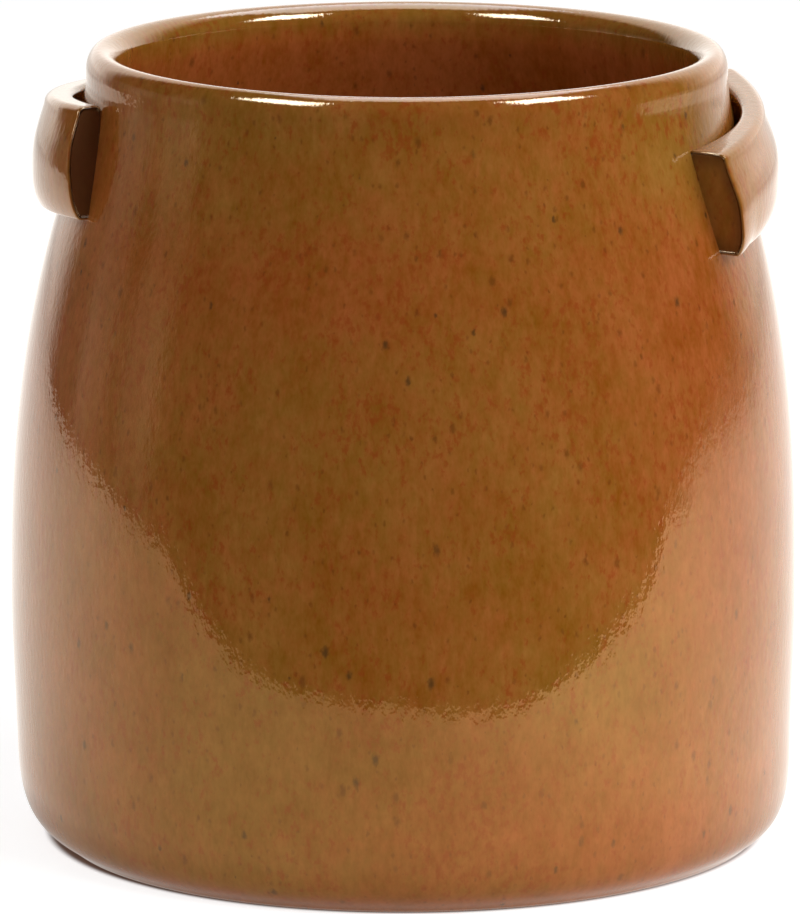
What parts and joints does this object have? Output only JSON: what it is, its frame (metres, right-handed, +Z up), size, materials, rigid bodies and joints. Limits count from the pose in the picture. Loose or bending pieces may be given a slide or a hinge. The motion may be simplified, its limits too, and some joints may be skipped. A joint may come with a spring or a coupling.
{
  "type": "handled stoneware pot planter",
  "caption": "Glazed stoneware pot with a wide rolled mouth, a belly swelling to a broad foot, and clay strap lugs pressed on under the rim.",
  "frame": {"origin": "centre of the resting face, on the table", "axes": "+Z up along the pot's axis, out of the mouth; +X towards the right lug, -X towards the left lug"},
  "size_m": [0.3, 0.3, 0.302],
  "materials": {
    "jar_glaze": "gloss",
    "lug_glaze": "gloss"
  },
  "bodies": {
    "root": {"jar_body": "jar_glaze", "lug_left": "lug_glaze", "lug_right": "lug_glaze"}
  },
  "joints": []
}
